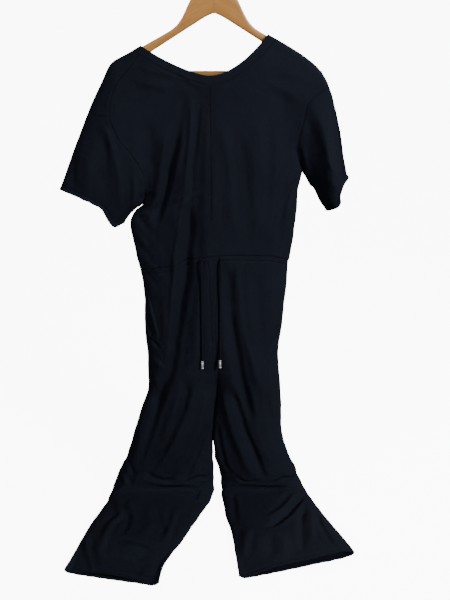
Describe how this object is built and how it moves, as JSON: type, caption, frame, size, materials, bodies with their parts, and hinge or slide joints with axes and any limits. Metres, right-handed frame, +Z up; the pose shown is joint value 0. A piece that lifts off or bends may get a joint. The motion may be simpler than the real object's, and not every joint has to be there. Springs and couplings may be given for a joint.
{
  "type": "jumpsuit on hanger",
  "caption": "Jersey jumpsuit on a wooden hanger, with short sleeves, a scoop neck, a drawcord waist and cropped wide legs that lie forward on the floor.",
  "frame": {"origin": "inner top of the hook's bow, where the rod carries it", "axes": "+Z up, -Y the garment's front, +X the picture's right, which is the wearer's left side"},
  "size_m": [0.6328, 0.3767, 1.233],
  "materials": {
    "sweatshirt_jersey": "black cotton sweatshirt jersey, fine knit outside",
    "neck_rib": "black jersey band, folded and stitched",
    "cord_cotton": "black braided cotton cord and black thread",
    "polished_steel": "bright polished steel",
    "beech": "beech under clear satin varnish"
  },
  "bodies": {
    "root": {"front_bodice": "sweatshirt_jersey", "back_bodice": "sweatshirt_jersey", "sleeve_left": "sweatshirt_jersey", "sleeve_right": "sweatshirt_jersey", "neckband": "neck_rib", "waist_casing": "sweatshirt_jersey", "centre_strip": "sweatshirt_jersey", "trouser_front_left": "sweatshirt_jersey", "trouser_front_right": "sweatshirt_jersey", "trouser_back_left": "sweatshirt_jersey", "trouser_back_right": "sweatshirt_jersey", "eyelet_left": "cord_cotton", "eyelet_right": "cord_cotton", "drawcord_left": "cord_cotton", "drawcord_right": "cord_cotton", "cord_tip_left": "polished_steel", "cord_tip_right": "polished_steel", "hanger_arms": "beech", "hanger_bar": "beech", "hanger_hook": "polished_steel"}
  },
  "joints": []
}
